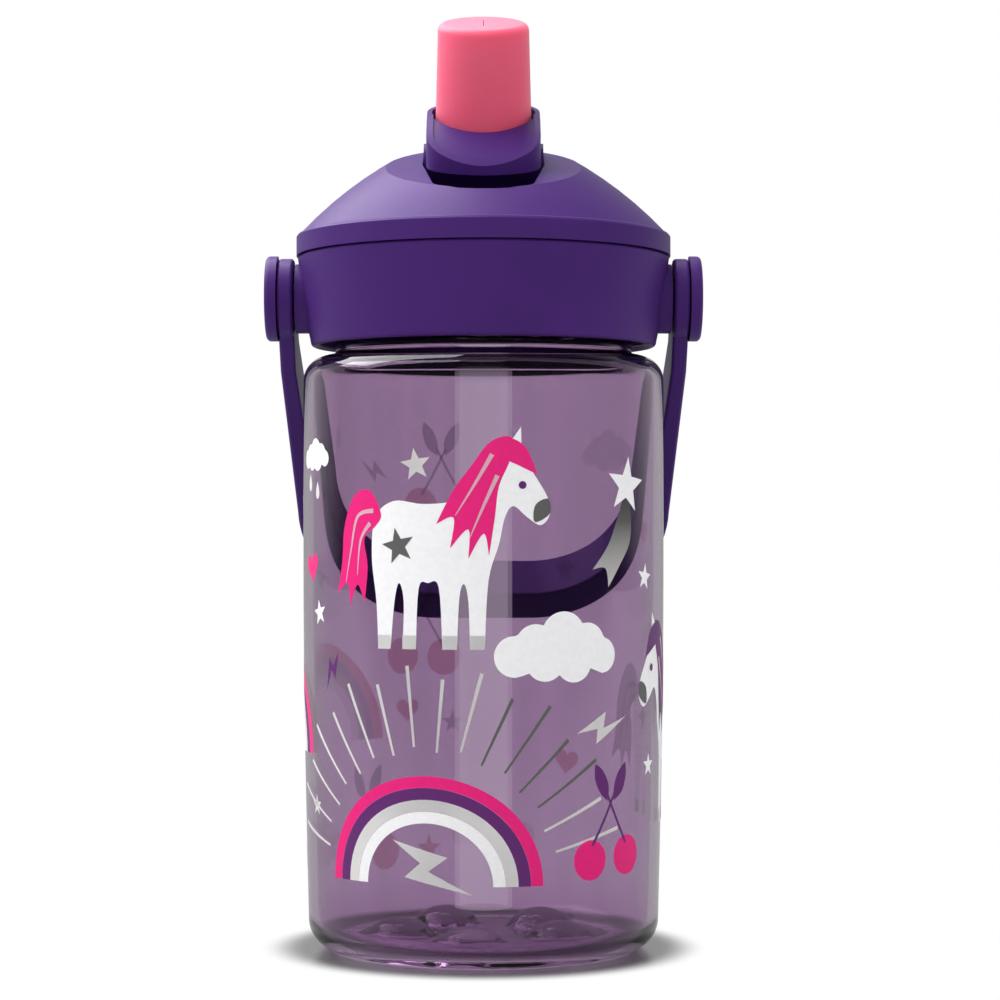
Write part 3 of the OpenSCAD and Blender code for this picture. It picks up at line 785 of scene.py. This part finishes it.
def pony(hair="pink"):
    """A plain pony that faces right, its hooves at height 0. Returns (ink, layer, outline) rows."""
    coat = [
        (-13.1, 0), (-13.1, 0), (-10.3, 0), (-10.3, 0), (-9.4, 9), (-8.4, 12.6), (-7.4, 9), (-7.7, 0),
        (-7.7, 0), (-4.9, 0), (-4.9, 0), (-4.3, 11.6), (-2.4, 12.6), (-0.3, 11.8), (0.4, 0), (0.4, 0),
        (3.2, 0), (3.2, 0), (3.7, 10), (4.6, 12.4), (5.4, 9), (5.7, 0), (5.7, 0), (8.5, 0), (8.5, 0),
        (9.2, 13), (11.2, 20), (12.3, 25), (13.9, 27.2), (16.5, 25.2), (19.2, 23.6), (21.1, 25.6), (20.6, 29),
        (17.1, 34.6), (15.7, 37.4), (15.4, 42.2), (15.4, 42.2), (12.8, 38.8), (10.4, 37.4), (7, 32),
        (3.2, 28.4), (-3.2, 27.6), (-9.6, 28.2), (-13.8, 25), (-14.6, 17.5), (-13.5, 9)]
    mane = [
        (13.6, 40.2), (9.6, 39.4), (5.8, 34.6), (2.4, 30), (-0.8, 23.8), (-0.8, 23.8), (2.6, 25), (1.9, 19.2),
        (1.9, 19.2), (5.4, 22.8), (5.4, 17.2), (5.4, 17.2), (8.3, 22), (9.3, 17.8), (9.3, 17.8), (10.4, 25),
        (11.2, 31), (13.3, 36)]
    forelock = [(12.8, 40), (16.3, 38.4), (18.6, 33.2), (18.6, 33.2), (15.2, 34.8), (12.5, 36.4)]
    tail = [
        (-12.4, 25.8), (-15, 30.2), (-19, 29.4), (-21.9, 23.4), (-22.6, 16.6), (-24, 10.4), (-24, 10.4),
        (-21, 12.4), (-20.2, 8), (-20.2, 8), (-18.2, 12.2), (-16.4, 8.6), (-16.4, 8.6), (-15.6, 15.6),
        (-16.4, 21), (-13.7, 23.4)]
    strands = [
        [(9.9, 37), (6.4, 31), (2.9, 25.4)],
        [(10.9, 33), (8, 26.6), (5.6, 21)],
        [(-14.2, 26.4), (-18.2, 25.2), (-20, 18.6), (-21.4, 12.6)],
        [(-15, 24), (-17.4, 20.6), (-18.2, 14)]]
    muzzle = [(18.1, 24.2), (21.1, 25.8), (20.8, 28.6), (18.2, 27.4)]
    rows = [("white", 0, smooth_loop(coat)), (hair, 1, smooth_loop(mane)), (hair, 1, smooth_loop(forelock)),
            (hair, 1, smooth_loop(tail))]
    rows += [("pale", 2, stroke(strand, STRAND_W, True)) for strand in strands]
    for x in (-13.1, -7.7, 0.4, 5.7):
        rows.append(("silver", 1, [(x, 0), (x + HOOF_W, 0), (x + HOOF_W, HOOF_H), (x, HOOF_H)]))
    rows.append(("grey", 1, placed(star(3.6), -8.6, 19.6, 12)))
    rows.append(("grey", 1, smooth_loop(muzzle)))
    rows.append(("purple", 2, disc(15.7, 31.2, 0.75, 16)))
    return rows


def cherries():
    """Two cherries on crossed stems with a pair of leaves."""
    rows = [("pink", 0, disc(-5, 0, 3.9)), ("pink", 0, disc(5, 0.4, 3.9))]
    for side in (-1, 1):
        rows.append(("purple", 1, stroke([(side * 4.6, 2.8), (side * 1.8, 7.4), (-side * 1.0, 12.6)], 0.55)))
        leaf = [(0, 0), (0, 0), (1.5, 2.6), (1.2, 6), (0, 8), (0, 8), (-1.2, 5.4), (-1.1, 2.4)]
        rows.append(("purple", 1, placed(smooth_loop(leaf), side * 0.9, 11.2, -side * 24)))
    return rows


def rainbow():
    """Four arches, one inside another."""
    rows = []
    for i, colour in enumerate(("pink", "purple", "silver", "white")):
        arch = band(ARCH_R[0] - ARCH_STEP * i, ARCH_R[1] - ARCH_STEP * i)
        rows.append((colour, 0, [(ARCH_WIDE * x, ARCH_HIGH * y) for x, y in arch]))
    return rows


def sunny_rainbow():
    """A rainbow with rays over it and a bolt under it."""
    rows = rainbow()
    thin, thick = RAY_HALF_W
    for i in range(RAYS):
        turn = FIRST_RAY + RAY_FAN * i / (RAYS - 1)
        near, far = ODD_RAY if i % 2 else EVEN_RAY
        # Rays on the right are grey ink: painted shade of the silver ink's reflection
        colour = "grey" if PAINTED_SHADE_RAYS[0] < turn < PAINTED_SHADE_RAYS[1] else "silver"
        ray = [(near, -thin), (far, -thick), (far, thick), (near, thin)]
        rows.append((colour, 0, placed(ray, turn=turn)))
    rows.append(("silver", 0, placed(bolt(8.6), 0.4, 3.6)))
    return rows


def shooting_star():
    """A star over a tail that widens to two tips."""
    tail = [
        (0.6, 0), (2, -5), (1.6, -10), (-1.6, -14.6), (-4.6, -18.6), (-4.6, -18.6), (-5.4, -15),
        (-8.6, -15.2), (-8.6, -15.2), (-4.6, -10.4), (-2, -5)]
    return [("foil", 0, placed(smooth_loop(tail), -0.6, -1)), ("white", 1, star(5.6, turn=-6))]


def rain_cloud():
    """A small cloud with two drops under it."""
    return [("white", 0, cloud(2.6)), ("silver", 0, placed(drop(1.7), -2.4, -5.4)),
            ("silver", 0, placed(drop(1.7), 1.6, -7))]


def one(colour, outline):
    """A picture of a single shape."""
    return [(colour, 0, outline)]


def picture_list():
    """What is printed where: rows, degrees round from the front (positive to the right), height, turn and
    flip."""
    front = [
        (pony(), -13, 61.5, 0, 1), (sunny_rainbow(), -17.8, 16.5, 0, 1), (cherries(), 43, 20.8, 0, 1),
        (one("white", cloud(5.5)), 23.2, 61.8, 0, 1), (shooting_star(), 49.5, 92.8, 0, 1),
        (one("silver", star(3.2, turn=8)), -20.8, 96.6, 0, 1), (one("silver", bolt(5.8)), 39, 46.5, 45, 1),
        (one("purple", bolt(4)), -54, 57, -86, 1), (rain_cloud(), -66, 99, 0, 1),
        (one("pink", heart(3.2)), -68, 77, 8, 1), (one("white", star(2.6, turn=10)), -62, 68, 0, 1),
        (one("white", star(2.7, turn=-8)), 60, 75, 0, 1), (one("white", star(2.4)), 64, 38, 0, 1),
        (one("silver", star(2.2)), -66, 30, 0, 1)]
    back = [
        (pony("purple"), 90, 26, 0, -1), (rainbow(), 255, 40, 0, 1), (cherries(), 202, 57, 0, 1),
        (cherries(), 195, 89, 0, 1), (one("silver", bolt(4.2)), 222, 97, 60, 1),
        (one("pink", heart(2.8)), 208, 46, 0, 1), (one("silver", star(2.6)), 191, 43, 0, 1),
        (one("pink", heart(3)), 149, 35, 8, 1), (one("white", cloud(3.6)), 129, 101, 0, 1),
        (one("pink", heart(3)), 104, 84, 0, 1), (one("white", star(4, turn=6)), 92, 106, 0, 1),
        (one("silver", star(3)), 150, 76, 0, 1), (one("white", cloud(4)), 176, 20, 0, 1),
        (one("white", star(2.6, turn=-12)), 170, 104, 0, 1), (one("purple", bolt(4)), 166, 58, 80, 1),
        (one("pink", heart(3)), 236, 80, 10, 1), (cherries(), 226, 16, 0, 1),
        (one("silver", bolt(4.6)), 258, 74, 30, 1), (one("silver", star(3)), 258, 108, 0, 1),
        (one("white", star(3.2)), 272, 90, 0, 1), (one("white", drop(2.6)), 242, 104, 0, 1),
        (one("white", cloud(4.4)), 258, 20, 0, 1), (one("pink", star(3)), 200, 16, 0, 1)]
    return front + back


def wrap(x, y, layer):
    """A point of the flat picture, laid on the body."""
    r = body_radius(y) + FIRST_LAYER + LAYER_STEP * layer
    a = x / BODY_R
    return (r * math.sin(a) * MM, -r * math.cos(a) * MM, y * MM)


def add_outline(work, outline, layer):
    """Fills an outline, cuts it in upright strips so that it bends with the body, and wraps it."""
    flat = [Vector((x, y, 0)) for x, y in outline]
    part = bmesh.new()
    made = [part.verts.new(p) for p in flat]
    for face in tessellate_polygon([flat]):
        if len(set(face)) == 3:
            part.faces.new([made[i] for i in face])
    low, high = min(p.x for p in flat), max(p.x for p in flat)
    at = math.ceil(low / STRIP) * STRIP
    while at < high:
        everything = part.verts[:] + part.edges[:] + part.faces[:]
        bmesh.ops.bisect_plane(part, geom=everything, plane_co=(at, 0, 0), plane_no=(1, 0, 0), dist=1e-6)
        at += STRIP
    loose = [v for v in part.verts if not v.link_faces]
    bmesh.ops.delete(part, geom=loose, context="VERTS")
    twin = {v: work.verts.new(wrap(v.co.x, v.co.y, layer)) for v in part.verts}
    for face in part.faces:
        work.faces.new([twin[v] for v in face.verts])
    part.free()


def make_prints(inks):
    """One thin piece for each ink, with all its shapes."""
    films = {name: bmesh.new() for name in inks}
    for rows, degrees, height, turn, flip in picture_list():
        x = math.radians(degrees) * BODY_R
        for colour, layer, outline in rows:
            add_outline(films[colour], placed(outline, x, height, turn, flip), layer)
    for name, work in films.items():
        bmesh.ops.recalc_face_normals(work, faces=work.faces)
        for face in work.faces:
            middle = face.calc_center_median()
            if face.normal.dot(Vector((middle.x, middle.y, 0))) < 0:
                face.normal_flip()
        mesh = bpy.data.meshes.new("print_" + name)
        work.to_mesh(mesh)
        work.free()
        mesh.polygons.foreach_set("use_smooth", [True] * len(mesh.polygons))
        add_piece("print_" + name, mesh, inks[name], "bottle", "clear_body")


# ---- CAD nodes that keep their shape ----

# Distance in millimetres below which points are one, and the segments of a rounded edge
WELD = 0.002
EDGE_STEPS = 3
LID_NODES = ("lid_collar", "lid_deck", "lid_dome", "spout_carrier", "handle", "handle_pivot_left",
             "handle_pivot_right")
SEAL_NODES = ("neck_gasket", "vent_valve", "port_seal")
STRAW_NODES = ("straw", "straw_coupler")
# Width in millimetres of each node's rounded edges, and the angle from which an edge counts
EDGES = {
    "handle": (0.8, 22),
    "lid_collar": (0.3, 22),
    "spout_carrier": (0.35, 22),
    "lid_dome": (0.4, 14),
    "mouthpiece": (0.1, 30),
    "handle_pivot_left": (0.15, 25),
    "handle_pivot_right": (0.15, 25),
}


def smooth_group():
    """Node group that shades a mesh smooth, apart from edges sharper than its angle."""
    group = bpy.data.node_groups.new("smooth_by_angle", "GeometryNodeTree")
    group.interface.new_socket("Geometry", in_out="INPUT", socket_type="NodeSocketGeometry")
    group.interface.new_socket("Angle", in_out="INPUT", socket_type="NodeSocketFloat")
    group.interface.new_socket("Geometry", in_out="OUTPUT", socket_type="NodeSocketGeometry")
    nodes, links = group.nodes, group.links
    source = nodes.new("NodeGroupInput")
    merge = nodes.new("GeometryNodeMergeByDistance")
    merge.inputs["Distance"].default_value = WELD * MM
    angle = nodes.new("GeometryNodeInputMeshEdgeAngle")
    sharp = nodes.new("FunctionNodeCompare")
    sharp.operation = "GREATER_THAN"
    normal = nodes.new("GeometryNodeSetMeshNormal")
    normal.mode = "SHARPNESS"
    result = nodes.new("NodeGroupOutput")
    links.new(source.outputs["Geometry"], merge.inputs["Geometry"])
    links.new(merge.outputs["Geometry"], normal.inputs["Mesh"])
    links.new(angle.outputs["Unsigned Angle"], sharp.inputs["A"])
    links.new(source.outputs["Angle"], sharp.inputs["B"])
    links.new(sharp.outputs["Result"], normal.inputs["Edge Sharpness"])
    links.new(normal.outputs["Mesh"], result.inputs["Geometry"])
    return group


def soften(node, group, width, angle):
    """Shades a CAD node smooth, and rounds the edges sharper than an angle, as a mould does."""
    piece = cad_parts[node]
    shading = piece.modifiers.new("smooth", "NODES")
    shading.node_group = group
    shading[group.interface.items_tree["Angle"].identifier] = math.radians(angle)
    edge = piece.modifiers.new("edges", "BEVEL")
    edge.width = width * MM
    edge.segments = EDGE_STEPS
    edge.limit_method = "ANGLE"
    edge.angle_limit = math.radians(angle)
    edge.use_clamp_overlap = True
    edge.harden_normals = True


def dress(node, material):
    """Gives a CAD node its one material."""
    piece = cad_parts[node]
    piece.data.materials.clear()
    piece.data.materials.append(material)


def main():
    make_studio()
    purple_plastic = lid_plastic()
    seal_silicone = soft_silicone("seal_white", SEAL_WHITE, SEAL_PALE)
    for node in LID_NODES:
        dress(node, purple_plastic)
    group = smooth_group()
    for node, (width, angle) in EDGES.items():
        soften(node, group, width, angle)
    dress("mouthpiece", soft_silicone("mouthpiece_pink", PINK, PALE_PINK))
    for node in SEAL_NODES:
        dress(node, seal_silicone)
    straw_plastic = straw_plastic_with_painted_glow()
    for node in STRAW_NODES:
        dress(node, straw_plastic)
    make_body(clear_body_plastic())
    make_prints({
        "white": ink("ink_white", (0.95, 0.95, 0.97)),
        "pink": ink("ink_pink", (0.86, 0.012, 0.21)),
        "pale": ink("ink_pale", (0.74, 0.42, 0.52)),
        "purple": ink("ink_purple", (0.13, 0.022, 0.17)),
        "grey": ink("ink_grey", (0.125, 0.125, 0.122)),
        "silver": silver_ink(),
        "foil": foil_ink_painted_shade(),
    })


main()
